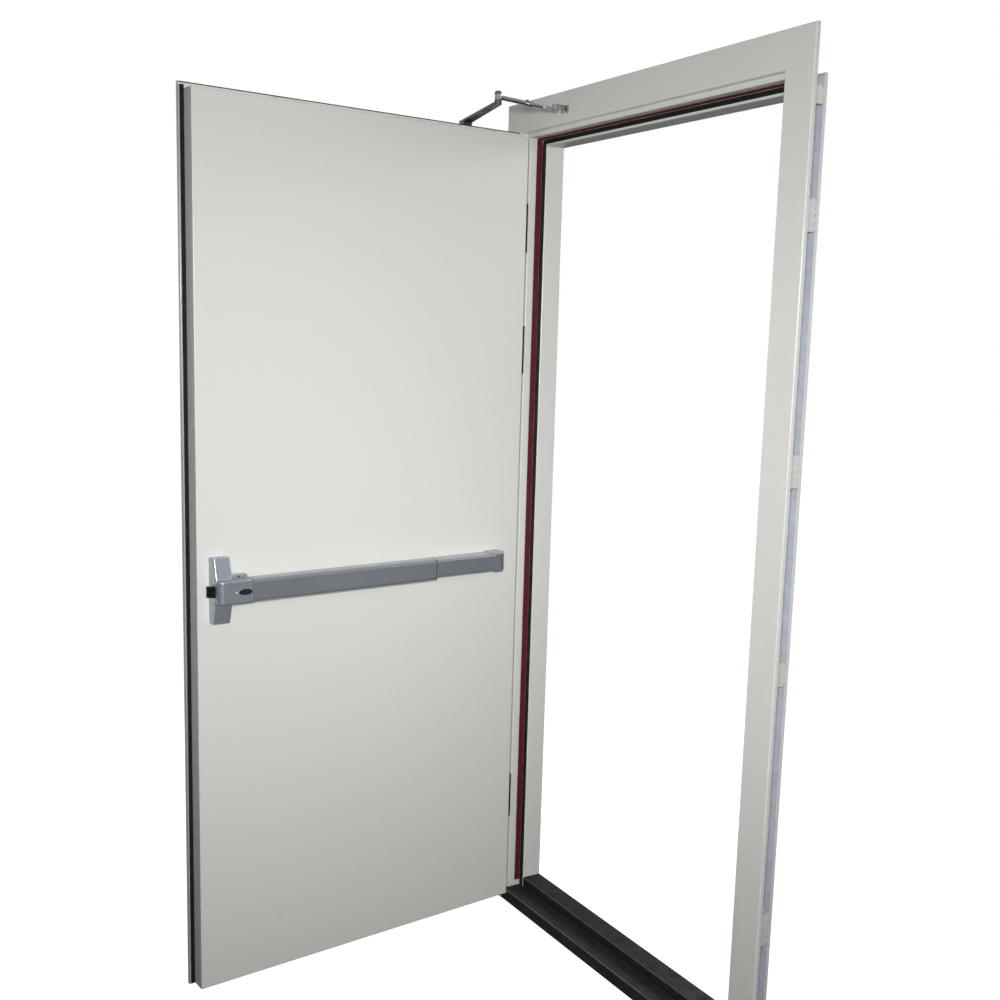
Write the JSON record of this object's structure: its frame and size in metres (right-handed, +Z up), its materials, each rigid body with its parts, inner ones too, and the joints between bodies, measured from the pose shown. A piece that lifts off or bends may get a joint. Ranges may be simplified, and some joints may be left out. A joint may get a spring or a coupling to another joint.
{
  "type": "steel utility door",
  "caption": "Rebated steel door in a bent-sheet frame with sill, touch-bar latch, hinges and an overhead closer with a folding arm.",
  "frame": {"origin": "on the sill's underside, in the middle of the frame's width and depth", "axes": "+Z up, +X along the frame to the right seen from the pull side, +Y to the push side"},
  "size_m": [1.098, 1.0502, 2.192],
  "materials": {
    "painted_leaf": "warm off-white gloss paint",
    "painted_frame": "warm off-white gloss paint",
    "dark_sill": "dark tarnished steel",
    "galvanised": "off-white primed steel",
    "fire_seal": "red-brown intumescent strip",
    "black_gasket": "black rubber",
    "hinge_steel": "zinc-plated steel",
    "silver_bar": "silver-grey paint",
    "dark_latch": "dark steel",
    "dark_plug": "black plastic",
    "closer_metal": "silver-grey paint",
    "bright_arm": "bright plated steel"
  },
  "bodies": {
    "frame": {"closer_shoe": "bright_arm", "head_fire_seal": "fire_seal", "head_member": "painted_frame", "head_stop_gasket": "black_gasket", "hinge_jamb": "painted_frame", "hinge_jamb_anchors": "galvanised", "hinge_side_fire_seal": "fire_seal", "hinge_side_stop_gasket": "black_gasket", "lower_hinge_frame_plate": "painted_frame", "lower_hinge_pin": "hinge_steel", "middle_hinge_frame_plate": "painted_frame", "middle_hinge_pin": "hinge_steel", "sill": "dark_sill", "sill_stop_gasket": "black_gasket", "strike_jamb": "painted_frame", "strike_jamb_anchors": "galvanised", "strike_keeper": "hinge_steel", "strike_side_fire_seal": "fire_seal", "strike_side_stop_gasket": "black_gasket", "upper_hinge_frame_plate": "painted_frame", "upper_hinge_pin": "hinge_steel"},
    "leaf": {"leaf_body": "painted_leaf", "leaf_face_sheet": "painted_leaf", "lock_edge_gasket": "black_gasket", "top_edge_gasket": "black_gasket", "touch_bar_rail": "silver_bar", "touch_bar_rail_cover": "silver_bar", "touch_bar_end_cap": "silver_bar", "latch_case": "silver_bar", "latch_case_base": "silver_bar", "latch_wing_cover": "silver_bar", "case_oval_plug": "dark_plug", "closer_body": "closer_metal", "upper_hinge_leaf_plate": "painted_leaf", "middle_hinge_leaf_plate": "painted_leaf", "lower_hinge_leaf_plate": "painted_leaf"},
    "push_pad": {"touch_bar_pad": "silver_bar"},
    "latch": {"latch_bolt": "dark_latch"},
    "main_arm": {"closer_main_arm": "bright_arm"},
    "forearm": {"closer_forearm_tube": "bright_arm", "closer_forearm_rod": "bright_arm"}
  },
  "joints": [
    {"name": "leaf_swing", "type": "hinge", "parent": "frame", "child": "leaf", "pos_m": [-0.4685, -0.066, 1], "axis": [0, 0, -1], "range_deg": [-84.5, 65.5]},
    {"name": "closer_arm_turn", "type": "hinge", "parent": "leaf", "child": "main_arm", "pos_m": [-0.47521, -0.22588, 2.115], "axis": [0, 0, 1], "range_deg": [-84.5, 65.5]},
    {"name": "closer_forearm_turn", "type": "hinge", "parent": "frame", "child": "forearm", "pos_m": [-0.2805, -0.085, 2.1433], "axis": [0, 0, -1], "range_deg": [-84.5, 65.5]},
    {"name": "pad_press", "type": "slide", "parent": "leaf", "child": "push_pad", "axis": [-0.9954, -0.0958, 0], "range_m": [0, 0.012], "stiffness_N_per_m": 400},
    {"name": "latch_retract", "type": "slide", "parent": "leaf", "child": "latch", "axis": [-0.0958, 0.9954, 0], "range_m": [0, 0.01]}
  ],
  "couplings": [
    {"joint": "closer_arm_turn", "follows": "leaf_swing", "ratio": 1},
    {"joint": "closer_forearm_turn", "follows": "leaf_swing", "ratio": 1},
    {"joint": "latch_retract", "follows": "pad_press", "ratio": 0.83333}
  ]
}
